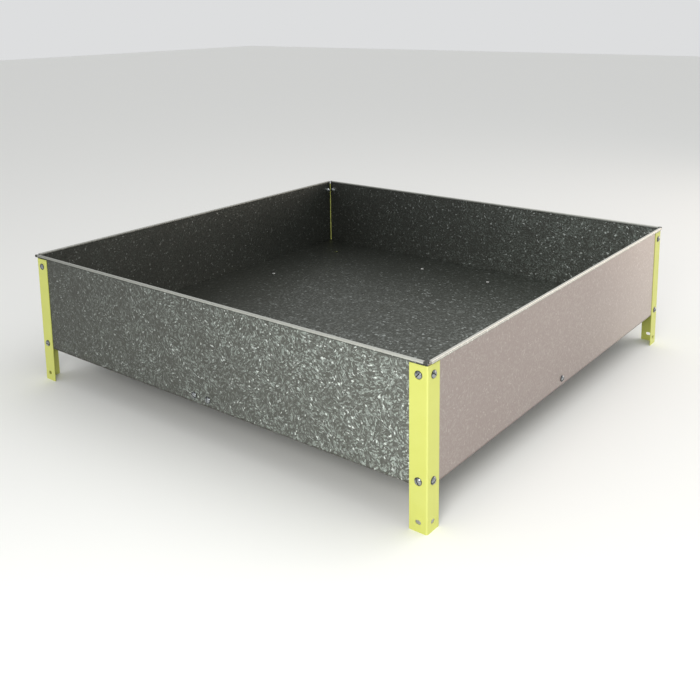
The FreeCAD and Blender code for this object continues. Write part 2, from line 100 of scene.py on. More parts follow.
@dataclass
class Recipe:
    """A node tree that turns the place of a point into its look.

    Attributes:
        tree: The tree of a material or a world.
        source: The coordinates that it reads: "Object", or "Generated" in a world.
        place: The point's place in those coordinates.
    """

    tree: bpy.types.NodeTree
    source: str = "Object"
    place: Socket = field(init=False)

    def __post_init__(self) -> None:
        """Empties the tree and adds the place."""
        self.tree.nodes.clear()
        self.place = self.add("TexCoord").outputs[self.source]

    def add(
        self, kind: str, inputs: dict[str | int, object] | None = None, **settings: object
    ) -> Node:
        """Adds one node with its settings, its input values and its links.

        Args:
            kind: Blender's name for the node, less the "ShaderNode" it starts with.
            inputs: Values for the inputs by name or number. An output socket is
                linked, and a node stands for its first output.
            settings: The node's own properties.

        Returns:
            The new node.
        """
        node = self.tree.nodes.new("ShaderNode" + kind)
        for name, value in settings.items():
            setattr(node, name, value)
        for name, value in (inputs or {}).items():
            if isinstance(value, Node):
                value = value.outputs[0]
            if isinstance(value, Socket):
                self.tree.links.new(value, node.inputs[name])
            else:
                node.inputs[name].default_value = value
        return node


def new_material(name: str) -> tuple[bpy.types.Material, Recipe]:
    """Makes a material of this name, with its empty recipe."""
    material = bpy.data.materials.new(name)
    material.use_nodes = True
    return material, Recipe(material.node_tree)


def dress(piece: bpy.types.Object, material: bpy.types.Material) -> None:
    """Puts one material on every face of a piece."""
    piece.data.materials.clear()
    piece.data.materials.append(material)


def dress_nodes(nodes: list[str], material: bpy.types.Material) -> None:
    """Puts one material on each of these CAD nodes, which keep their shapes."""
    for node in nodes:
        dress(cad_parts[node], material)
        log.info("%s dressed", node)


def bounds(across: Span, to: Span = (0.0, 1.0)) -> dict[str, float]:
    """Names the bounds that a Map Range node maps from and to."""
    return dict(zip(("From Min", "From Max", "To Min", "To Max"), across + to))


def below_top(depths_mm: Span) -> Span:
    """Turns two depths below the rim's top, in mm, into heights above the ground."""
    return (RIM_TOP - depths_mm[0] * MM, RIM_TOP - depths_mm[1] * MM)


def corner_reach(recipe: Recipe, axes: Node) -> Node:
    """Adds the nodes that tell how near a point is to one of the bed's corners.

    Args:
        recipe: The recipe that takes the nodes.
        axes: The node that gives the point's X, Y and Z.

    Returns:
        The lesser of |X| and |Y|, which is largest at the four corners.
    """
    across, along = (
        recipe.add("Math", {0: axes.outputs[axis]}, operation="ABSOLUTE") for axis in "XY"
    )
    return recipe.add("Math", {0: across, 1: along}, operation="MINIMUM")


# ------------------------------------------------------------------------------ finishes


@dataclass(frozen=True)
class GalvanisedSheet:
    """Hot-dip galvanised sheet steel, cold folded.

    The zinc freezes into crystals, the spangle, and each crystal mirrors the room at
    a slightly different angle. So the eye sees small ragged flakes, light on dark.

    Attributes:
        name: The material's name.
        dark: Colour of the duller crystals.
        light: Colour of the crystals that catch the light.
        glint: Colour of the painted highlight on the few crystals that face the light
        squarely.
        glint_between: Random number from which a crystal starts to glint, and from
            which it glints fully.
        rarity: Power that makes bright crystals rare.
        flake_mm: Length of a crystal.
        ragged: How far a crystal's edge is pushed about, as a share of its length.
        streak: How many times longer than wide a crystal is.
        patch_mm: Size of a patch of crystals that grew the same way.
        clouds: Noises that make some crystals, and some parts of a crystal, brighter
            than others: the size in mm, then the least and the greatest brightness.
        brightness: Brightness of the sheet's left end and of its right end: painted shade
            on the left and painted light on the right.
        sparkle: How strongly the bright crystals show at those two ends, as painted light.
        smooth: Roughness of the brightest crystals.
        dull: Roughness of the dullest crystals.
        tilt: How far a crystal's face leans, as a share of the surface normal: the
            dullest ones and the brightest ones.
        bumps: The sheet's sag and its grain: the size in mm, the noise's detail, the
            depth in mm and the strength.
        rim: Colour of the painted highlight on the folded rim.
        edge: Colour of the painted shadow along the lip's lower edge and at the rims'
        ends near the corners.
        rim_tones: Colours up the rim, at depths in mm below its top: how far the
            edge's colour and then how far the rim's colour hide the spangle.
        lip_foot_mm: Depths below the rim's top between which the web gives way to
            the lip.
        corner_shade: How far a rim's end near a corner takes the edge's colour, as painted
        shade.
        foot_shade_colour: Colour of the painted shade along the lower bend, which faces down.
        foot_shade: How strongly the painted shade darkens the lower edge.
        painted_reflection: How far a painted reflection hides the spangle on the bed's right
            outer face, as a lit copy of the sheet.
        painted_reflection_colour: Colour of that painted reflection.
        painted_reflection_back: Colour of the painted reflection at the face's back end, where
            it is lighter.
        painted_reflection_between: Places along Y between which the painted reflection's
            colour changes.
    """

    name: str
    dark: str = "#696A65"
    light: str = "#AEB7B1"
    glint: str = "#E4EAE6"
    glint_between: Span = (0.965, 0.985)
    rarity: float = 3.0
    flake_mm: float = 5.2
    ragged: float = 0.75
    streak: float = 2.0
    patch_mm: float = 24.0
    clouds: tuple[Point, ...] = ((90.0, 0.6, 1.25), (2.34, 0.35, 1.5))
    brightness: Span = (0.74, 1.22)
    sparkle: Span = (0.4, 1.22)
    smooth: float = 0.34
    dull: float = 0.52
    tilt: Span = (0.066, 0.22)
    bumps: tuple[tuple[float, ...], ...] = ((260.0, 1.0, 3.0, 1.0), (3.0, 2.0, 0.15, 0.5))
    rim: str = "#C6C7C0"
    # Painted shadow colour.
    edge: str = "#3C3F3B"
    rim_tones: tuple[Point, ...] = (
        (6.3, 0.0, 0.0), (6.0, 0.8, 0.0), (4.6, 0.5, 0.0), (3.8, 0.0, 0.9), (0.4, 0.0, 0.95)
    )
    lip_foot_mm: Span = (7.0, 6.2)
    corner_shade: float = 0.9
    foot_shade_colour: str = "#3A2E26"
    foot_shade: float = 0.55
    painted_reflection: float = 0.0
    painted_reflection_colour: str = "#A09490"
    painted_reflection_back: str = "#BCB1AB"
    painted_reflection_between: Span = (50 * MM, 650 * MM)

    def crystals(self, recipe: Recipe) -> Socket:
        """Adds the spangle's pattern.

        A noise of half a crystal's size pushes the place about, which makes the edges
        ragged. Then the place is turned about the sheet's normal by the angle of its
        patch and squeezed, which draws the cells of a Voronoi pattern out in streaks.

        Args:
            recipe: The recipe that takes the nodes.

        Returns:
            A random colour for each crystal.
        """
        flake = self.flake_mm * MM
        wobble = recipe.add(
            "TexNoise", {"Vector": recipe.place, "Scale": 1 / (0.5 * flake), "Detail": 2.0}
        ).outputs["Color"]
        centred = recipe.add("VectorMath", {0: wobble, 1: MIDDLE_GREY}, operation="SUBTRACT")
        push = recipe.add(
            "VectorMath", {0: centred, "Scale": self.ragged * flake}, operation="SCALE"
        )
        ragged = recipe.add("VectorMath", {0: recipe.place, 1: push}, operation="ADD")
        patch = recipe.add(
            "TexVoronoi", {"Vector": ragged, "Scale": 1 / (self.patch_mm * MM)}
        ).outputs["Color"]
        patch_parts = recipe.add("SeparateColor", {"Color": patch})
        angle = recipe.add(
            "Math", {0: patch_parts.outputs["Green"], 1: 2 * math.pi}, operation="MULTIPLY"
        )
        normal = recipe.add("NewGeometry").outputs["Normal"]
        turned = recipe.add("VectorRotate", {"Vector": ragged, "Axis": normal, "Angle": angle})
        squeezed = recipe.add(
            "Mapping", {"Vector": turned, "Scale": (1 / self.streak, 1 / self.streak, 1.0)}
        )
        return recipe.add(
            "TexVoronoi", {"Vector": squeezed, "Scale": self.streak / flake}
        ).outputs["Color"]

    def across_bed(self, recipe: Recipe, axes: Node, ends: Span) -> Node:
        """Adds a value that changes evenly from the bed's left side to its right side.

        Args:
            recipe: The recipe that takes the nodes.
            axes: The node that gives the place's X, Y and Z.
            ends: The value at the left side and at the right side.

        Returns:
            The node that gives the value.
        """
        return recipe.add(
            "MapRange", {"Value": axes.outputs["X"], **bounds((-PANEL_FACE, PANEL_FACE), ends)}
        )

    def spangle(self, recipe: Recipe, axes: Node, parts: Node, tone: Node) -> Socket:
        """Adds the zinc's colour, crystal by crystal.

        Bright crystals are commoner in some stretches than in others, and, as painted
        shade, fewer towards the bed's left side. Each is frosted, so a noise finer than
        itself breaks up its brightness. A few face the light squarely and take a painted
        highlight.

        Args:
            recipe: The recipe that takes the nodes.
            axes: The node that gives the place's X, Y and Z.
            parts: The node that gives the crystal's three random numbers.
            tone: The crystal's tone, from 0 to 1.

        Returns:
            The colour.
        """
        # Painted light: the bright crystals show less towards the bed's left side.
        sparkle = self.across_bed(recipe, axes, self.sparkle)
        mixed = recipe.add("Math", {0: tone, 1: sparkle}, operation="MULTIPLY")
        for size_mm, least, greatest in self.clouds:
            cloud = recipe.add(
                "TexNoise",
                {"Vector": recipe.place, "Scale": 1 / (size_mm * MM), "Detail": 3.0},
            )
            strength = recipe.add(
                "MapRange", {"Value": cloud, **bounds(NOISE_SPAN, (least, greatest))}
            )
            mixed = recipe.add(
                "Math", {0: mixed, 1: strength}, operation="MULTIPLY", use_clamp=True
            )
        # Painted highlight: the few crystals past glint_between turn near white.
        glinting = recipe.add(
            "MapRange", {"Value": parts.outputs["Blue"], **bounds(self.glint_between)}
        )
        sparkling = recipe.add(
            "Math", {0: glinting, 1: sparkle}, operation="MULTIPLY", use_clamp=True
        )
        matt_zinc = recipe.add(
            "Mix", {0: mixed, 6: linear(self.dark), 7: linear(self.light)}, data_type="RGBA"
        ).outputs[2]
        return recipe.add(
            "Mix", {0: sparkling, 6: matt_zinc, 7: linear(self.glint)}, data_type="RGBA"
        ).outputs[2]

    def film(self, recipe: Recipe, axes: Node) -> Node:
        """Adds the share of painted reflection, a pale lit colour over the spangle.

        It lies on the right panel's outer face, so beyond the middle of the sheet's
        thickness, and below the lip.

        Args:
            recipe: The recipe that takes the nodes.
            axes: The node that gives the place's X, Y and Z.

        Returns:
            The node that gives the painted reflection's share, from 0 to 1.
        """
        middle = (PANEL_FACE - 0.6 * PANEL_SHEET, PANEL_FACE - 0.4 * PANEL_SHEET)
        on_right = recipe.add(
            "MapRange", {"Value": axes.outputs["X"], **bounds(middle, (0.0, self.painted_reflection))}
        )
        off_rim = recipe.add(
            "MapRange",
            {"Value": axes.outputs["Z"], **bounds(below_top(self.lip_foot_mm), (1.0, 0.0))},
        )
        return recipe.add("Math", {0: on_right, 1: off_rim}, operation="MULTIPLY")

    def rim_shares(self, recipe: Recipe, height: Socket) -> Node:
        """Adds the colour ramp up the rim, from its list of tones.

        The rim takes a painted highlight, paler than the web, down to the painted shadow
        along the lip's lower edge.

        Args:
            recipe: The recipe that takes the nodes.
            height: The height above the ground.

        Returns:
            A node whose Red is the share of the painted shadow along the lip's lower edge
            and whose Green is the share of the rim's painted highlight.
        """
        lowest, highest = self.rim_tones[0][0], self.rim_tones[-1][0]
        span = recipe.add(
            "MapRange", {"Value": height, **bounds(below_top((lowest, highest)))}
        )
        ramp = recipe.add("ValToRGB", {"Fac": span})
        stops = ramp.color_ramp.elements
        while len(stops) < len(self.rim_tones):
            stops.new(1.0)
        for stop, (depth_mm, bare, drawn) in zip(stops, self.rim_tones):
            stop.position = (lowest - depth_mm) / (lowest - highest)
            stop.color = (bare, drawn, 0.0, 1.0)
        return recipe.add("SeparateColor", {"Color": ramp})

    def weathered(self, recipe: Recipe, axes: Node, zinc: Socket, reflection_share: Node) -> Socket:
        """Adds painted reflection, painted highlight and painted shade to the zinc's colour.

        Each layer hides the ones before it: the painted reflection on the right outer
        face, the painted shadow under the lip, the rim's painted highlight, the painted
        shade at the rims' ends near the corners, and the painted shade along the lower bend.

        Args:
            recipe: The recipe that takes the nodes.
            axes: The node that gives the place's X, Y and Z.
            zinc: The zinc's own colour.
            reflection_share: The painted reflection's share.

        Returns:
            The colour.
        """
        height = axes.outputs["Z"]
        backward = recipe.add(
            "MapRange",
            {"Value": axes.outputs["Y"], **bounds(self.painted_reflection_between)},
            interpolation_type="SMOOTHSTEP",
        )
        reflection_colour = recipe.add(
            "Mix",
            {0: backward, 6: linear(self.painted_reflection_colour), 7: linear(self.painted_reflection_back)},
            data_type="RGBA",
        ).outputs[2]
        tones = self.rim_shares(recipe, height)
        # Painted shade at the rims' ends, where the rims meet at the corners.
        last_stretch = (PANEL_FACE - 6.6 * MM, PANEL_FACE - 4.6 * MM)
        at_end = recipe.add(
            "MapRange",
            {"Value": corner_reach(recipe, axes), **bounds(last_stretch, (0.0, self.corner_shade))},
        )
        on_rim = recipe.add(
            "MapRange", {"Value": height, **bounds(below_top(self.lip_foot_mm))}
        )
        corner_shaded = recipe.add("Math", {0: at_end, 1: on_rim}, operation="MULTIPLY")

        # Painted shade along the panels' lower bend, which faces down.
        lower_fold = (GROUND_GAP + 0.5 * MM, GROUND_GAP + 6.0 * MM)
        foot_shaded = recipe.add(
            "MapRange",
            {"Value": height, **bounds(lower_fold, (self.foot_shade, 0.0))},
            interpolation_type="SMOOTHSTEP",
        )
        colour = zinc
        for share, over in (
            # Painted reflection on the right outer face.
            (reflection_share, reflection_colour),
            # Painted shadow under the lip.
            (tones.outputs["Red"], linear(self.edge)),
            # Painted highlight on the rim.
            (tones.outputs["Green"], linear(self.rim)),
            # Painted shade at the rims' ends near the corners.
            (corner_shaded, linear(self.edge)),
            # Painted shade along the lower bend.
            (foot_shaded, linear(self.foot_shade_colour)),
        ):
            colour = recipe.add(
                "Mix", {0: share, 6: colour, 7: over}, data_type="RGBA"
            ).outputs[2]
        return colour

    def leaning(self, recipe: Recipe, crystal: Socket, tone: Node, reflection_share: Node) -> Node:
        """Adds the surface's normal.

        Each crystal leans its own way, the brighter ones further, and where the painted
        reflection lies they lean less. The sheet itself has a fine grain and is not quite
        flat.

        Args:
            recipe: The recipe that takes the nodes.
            crystal: The crystal's random colour.
            tone: The crystal's tone, from 0 to 1.
            reflection_share: The painted reflection's share.

        Returns:
            The node that gives the normal.
        """
        free_lean = recipe.add("MapRange", {"Value": tone, **bounds((0.0, 1.0), self.tilt)})
        bare = recipe.add("Math", {0: 1.0, 1: reflection_share}, operation="SUBTRACT")
        lean = recipe.add("Math", {0: free_lean, 1: bare}, operation="MULTIPLY")
        lean_way = recipe.add("VectorMath", {0: crystal, 1: MIDDLE_GREY}, operation="SUBTRACT")
        lean_by = recipe.add("VectorMath", {0: lean_way, "Scale": lean}, operation="SCALE")
        normal = recipe.add("NewGeometry").outputs["Normal"]
        for size_mm, detail, depth_mm, strength in self.bumps:
            noise = recipe.add(
                "TexNoise",
                {"Vector": recipe.place, "Scale": 1 / (size_mm * MM), "Detail": detail},
            )
            normal = recipe.add(
                "Bump",
                {
                    "Height": noise,
                    "Distance": depth_mm * MM,
                    "Strength": strength,
                    "Normal": normal,
                },
            )
        leaned = recipe.add("VectorMath", {0: normal, 1: lean_by}, operation="ADD")
        return recipe.add("VectorMath", {0: leaned}, operation="NORMALIZE")

    def material(self) -> bpy.types.Material:
        """Builds the node material.

        Few crystals are bright, because the random tone is raised to a power. The
        sheet is darker towards the bed's left side and lighter towards its right side, as
        painted shade and painted light.

        Returns:
            The finished material.
        """
        material, recipe = new_material(self.name)
        axes = recipe.add("SeparateXYZ", {"Vector": recipe.place})
        crystal = self.crystals(recipe)
        parts = recipe.add("SeparateColor", {"Color": crystal})
        tone = recipe.add("Math", {0: parts.outputs["Red"], 1: self.rarity}, operation="POWER")
        # Share of the painted reflection on the right outer face.
        reflection_share = self.film(recipe, axes)
        zinc = self.spangle(recipe, axes, parts, tone)
        # Painted light and shade: the colour grows lighter from the bed's left side to its
        # right.
        colour = recipe.add(
            "VectorMath",
            {
                0: self.weathered(recipe, axes, zinc, reflection_share),
                "Scale": self.across_bed(recipe, axes, self.brightness),
            },
            operation="SCALE",
        )
        rough = recipe.add(
            "MapRange", {"Value": tone, **bounds((0.0, 1.0), (self.dull, self.smooth))}
        )
        shader = recipe.add(
            "BsdfPrincipled",
            {
                "Base Color": colour,
                "Metallic": 1.0,
                "Roughness": rough,
                "Normal": self.leaning(recipe, crystal, tone, reflection_share),
            },
        )
        recipe.add("OutputMaterial", {"Surface": shader})
        return material


@dataclass(frozen=True)
class PowderCoat:
    """Lime polyester powder coat, sprayed dry and baked onto folded steel.

    It is an even, satin plastic skin with a faint orange peel, a little paler where
    it is thin.

    Attributes:
        name: The material's name.
        colour: The coat's own colour.
        thin: Its colour where it is a little thinner.
        fold: Colour of the painted highlight along the post's outer bend.
        fold_highlight_share: How far that hides the coat's own colour.
        drift_mm: Size of the thinner and thicker parts.
        peel_mm: Size of the orange peel's bumps. The real 2 mm is drawn as 4 mm, so
            that it shows in the render.
        peel_depth_mm: Depth of those bumps.
        gloss: Least and greatest roughness.
    """

    name: str = "powder_coated_steel_lime"
    colour: str = "#CACE62"
    thin: str = "#D1D572"
    fold: str = "#E6EA98"
    fold_highlight_share: float = 0.75
    drift_mm: float = 45.0
    peel_mm: float = 4.0
    peel_depth_mm: float = 0.25
    gloss: Span = (0.34, 0.46)

    def material(self) -> bpy.types.Material:
        """Builds the node material.

        Returns:
            The finished material.
        """
        material, recipe = new_material(self.name)
        drift = recipe.add(
            "TexNoise",
            {"Vector": recipe.place, "Scale": 1 / (self.drift_mm * MM), "Detail": 3.0},
        )
        coat = recipe.add(
            "Mix", {0: drift, 6: linear(self.colour), 7: linear(self.thin)}, data_type="RGBA"
        ).outputs[2]

        # Painted highlight on the round of the fold, which is the part of a post that is
        # nearest the bed's corner.
        axes = recipe.add("SeparateXYZ", {"Vector": recipe.place})
        fold_reach = (PANEL_FACE - 1.0 * MM, PANEL_FACE + 1.2 * MM)
        folded = recipe.add(
            "MapRange",
            {
                "Value": corner_reach(recipe, axes),
                **bounds(fold_reach, (0.0, self.fold_highlight_share)),
            },
        )
        colour = recipe.add(
            "Mix", {0: folded, 6: coat, 7: linear(self.fold)}, data_type="RGBA"
        ).outputs[2]
        peel = recipe.add(
            "TexNoise",
            {"Vector": recipe.place, "Scale": 1 / (self.peel_mm * MM), "Detail": 1.0},
        )
        bumped = recipe.add(
            "Bump", {"Height": peel, "Distance": self.peel_depth_mm * MM, "Strength": 0.6}
        )
        rough = recipe.add("MapRange", {"Value": drift, **bounds((0.0, 1.0), self.gloss)})
        shader = recipe.add(
            "BsdfPrincipled",
            {"Base Color": colour, "Roughness": rough, "IOR": 1.5, "Normal": bumped},
        )
        recipe.add("OutputMaterial", {"Surface": shader})
        return material


@dataclass(frozen=True)
class ZincPlate:
    """Electroplated zinc on a cold-headed steel fastener.

    It is a thin bright metal film, mottled where it has dulled. Painted shade darkens
    it where the mesh attribute "grime" says.

    Attributes:
        name: The material's name.
        dull: Colour of the dulled film.
        bright: Colour of the fresh film.
        roughness: Mean roughness of the film.
        roughness_spread: How far the roughness goes to each side of the mean.
        mottle_mm: Size of the mottling.
        painted_shade_colour: Colour of the painted shade.
    """

    name: str
    dull: str
    bright: str
    roughness: float
    roughness_spread: float = 0.06
    mottle_mm: float = 2.5
    painted_shade_colour: str = "#25282A"

    def material(self) -> bpy.types.Material:
        """Builds the node material.

        Returns:
            The finished material.
        """
        material, recipe = new_material(self.name)
        mottle = recipe.add(
            "TexNoise",
            {"Vector": recipe.place, "Scale": 1 / (self.mottle_mm * MM), "Detail": 3.0},
        )
        clean = recipe.add(
            "Mix", {0: mottle, 6: linear(self.dull), 7: linear(self.bright)}, data_type="RGBA"
        ).outputs[2]
        # Painted shade at the head's edge and in the slot, from the mesh.
        painted_shade = recipe.add("Attribute", attribute_name="painted_shade")
        colour = recipe.add(
            "Mix",
            {0: painted_shade.outputs["Fac"], 6: clean, 7: linear(self.painted_shade_colour)},
            data_type="RGBA",
        ).outputs[2]
        spread = (
            self.roughness + self.roughness_spread, self.roughness - self.roughness_spread
        )
        rough = recipe.add("MapRange", {"Value": mottle, **bounds((0.0, 1.0), spread)})
        shader = recipe.add(
            "BsdfPrincipled", {"Base Color": colour, "Metallic": 1.0, "Roughness": rough}
        )
        recipe.add("OutputMaterial", {"Surface": shader})
        return material


@dataclass(frozen=True)
class StudioPaint:
    """Matt white paint on the studio floor, rolled on, so nearly even.

    Attributes:
        name: The material's name.
        colour: The paint's colour.
        gloss: Least and greatest roughness.
        lap_mm: Size of the roller's laps.
    """

    name: str = "studio_floor_paint"
    colour: str = "#F1F1EE"
    gloss: Span = (0.75, 0.85)
    lap_mm: float = 500.0

    def material(self) -> bpy.types.Material:
        """Builds the node material.

        Returns:
            The finished material.
        """
        material, recipe = new_material(self.name)
        roller = recipe.add(
            "TexNoise",
            {"Vector": recipe.place, "Scale": 1 / (self.lap_mm * MM), "Detail": 2.0},
        )
        rough = recipe.add("MapRange", {"Value": roller, **bounds((0.0, 1.0), self.gloss)})
        shader = recipe.add(
            "BsdfPrincipled", {"Base Color": linear(self.colour), "Roughness": rough}
        )
        recipe.add("OutputMaterial", {"Surface": shader})
        return material


# -------------------------------------------------------------------------- mesh surfaces


def grid_faces(rows: int, columns: int, wrap: bool) -> np.ndarray:
    """Lists the four-sided faces of a grid of points numbered row by row.

    Args:
        rows: Number of rows of points.
        columns: Number of points in each row.
        wrap: True if each row closes on itself.

    Returns:
        One line of four point numbers for each face.
    """
    across = np.arange(columns if wrap else columns - 1)
    row, column = np.meshgrid(np.arange(rows - 1), across, indexing="ij")
    beside = (column + 1) % columns
    corners = (
        row * columns + column,
        row * columns + beside,
        (row + 1) * columns + beside,
        (row + 1) * columns + column,
    )
    return np.stack(corners, axis=-1).reshape(-1, 4)


@dataclass
class Surface:
    """One closed surface, in metres.

    Attributes:
        points: Its points.
        faces: Its four-sided faces, as point numbers.
        painted_shade: How much painted shade each point takes, from 0 to 1.
    """

    points: np.ndarray
    faces: np.ndarray
    painted_shade: np.ndarray

    def placed(self, turn: np.ndarray, origin: np.ndarray) -> "Surface":
        """Turns the surface by a 3 by 3 matrix and moves its origin to a point."""
        return Surface(self.points @ turn.T + origin, self.faces, self.painted_shade)


def joined(surfaces: list[Surface]) -> Surface:
    """Joins surfaces into one list of points and faces, without merging any.

    Args:
        surfaces: The surfaces to join.

    Returns:
        One surface that holds them all.
    """
    counts = [len(surface.points) for surface in surfaces]
    starts = np.concatenate(([0], np.cumsum(counts)[:-1]))
    faces = [surface.faces + start for surface, start in zip(surfaces, starts)]
    points = np.concatenate([surface.points for surface in surfaces])
    painted_shade = np.concatenate([surface.painted_shade for surface in surfaces])
    return Surface(points, np.concatenate(faces), painted_shade)


def make_piece(name: str, surface: Surface, crease: float) -> bpy.types.Object:
    """Puts a surface into a mesh, closes its poles and seams, and smooths it.

    Args:
        name: The piece's name.
        surface: The surface, already in its place.
        crease: Edges sharper than this angle, in degrees, stay sharp.

    Returns:
        The new object, at the origin.
    """
    mesh = bpy.data.meshes.new(name)
    mesh.from_pydata(surface.points.tolist(), [], surface.faces.tolist())
    painted_shade = mesh.attributes.new("painted_shade", "FLOAT", "POINT")
    painted_shade.data.foreach_set("value", surface.painted_shade.astype(np.float32))
    work = bmesh.new()
    work.from_mesh(mesh)
    bmesh.ops.remove_doubles(work, verts=work.verts, dist=WELD_REACH)
    bmesh.ops.dissolve_degenerate(work, edges=work.edges, dist=WELD_REACH / 2)
    bmesh.ops.recalc_face_normals(work, faces=work.faces)
    work.to_mesh(mesh)
    work.free()
    mesh.polygons.foreach_set("use_smooth", np.ones(len(mesh.polygons), bool))
    mesh.set_sharp_from_angle(angle=math.radians(crease))
    piece = bpy.data.objects.new(name, mesh)
    bpy.context.scene.collection.objects.link(piece)
    return piece


# ------------------------------------------------------------------------------ fasteners


class Face(Enum):
    """The side of the bed that a fastener points out of."""

    FRONT = (0.0, -1.0, 0.0)
    BACK = (0.0, 1.0, 0.0)
    LEFT = (-1.0, 0.0, 0.0)
    RIGHT = (1.0, 0.0, 0.0)


@dataclass(frozen=True)
class Place:
    """Where one fastener sits: a point on its seat, and the side it points out of."""

    seat: Point
    face: Face

    def turn(self, spin: float) -> np.ndarray:
        """Matrix that stands a fastener's +Z axis out of the face.

        Args:
            spin: How far the fastener is turned about its own axis, in radians.

        Returns:
            A 3 by 3 matrix whose columns are the fastener's X, Y and Z axes.
        """
        out = Vector(self.face.value)
        up = Vector((0.0, 0.0, 1.0))
        across = up.cross(out)
        upright = Matrix((across, up, out)).transposed()
        return np.array(upright @ Matrix.Rotation(spin, 3, "Z"))


def places_on(node: str, head_reach: float, head_height: float) -> list[Place]:
    """Finds the seats of a bolt node's bolts from the node's box.

    A corner node has one pair of bolts on each of its two faces. A panel's node has
    one or two bolts side by side on one face.

    Args:
        node: The node's name.
        head_reach: Distance from a bolt's axis to the side of its head.
        head_height: Height of a head above its seat.

    Returns:
        One place for each bolt.
    """
    low, high = (np.array(corner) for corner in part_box(node))
    sides = np.sign(low + high)
    outer = np.where(sides > 0, high, low)
    seat = outer - sides * head_height
    if node.startswith("post_"):
        inner = np.where(sides > 0, low, high)
        line = inner + sides * head_reach
        side_face = Face.RIGHT if sides[0] > 0 else Face.LEFT
        end_face = Face.BACK if sides[1] > 0 else Face.FRONT
        heights = (low[2] + head_reach, high[2] - head_reach)
        ends = [Place((line[0], seat[1], z), end_face) for z in heights]
        return ends + [Place((seat[0], line[1], z), side_face) for z in heights]
    height = low[2] + head_reach
    if node.endswith(("front", "back")):
        face = Face.FRONT if node.endswith("front") else Face.BACK
        ends = (low[0] + head_reach, high[0] - head_reach)
        return [Place((x, seat[1], height), face) for x in ends]
    face = Face.LEFT if node.endswith("left") else Face.RIGHT
    return [Place((seat[0], low[1] + head_reach, height), face)]


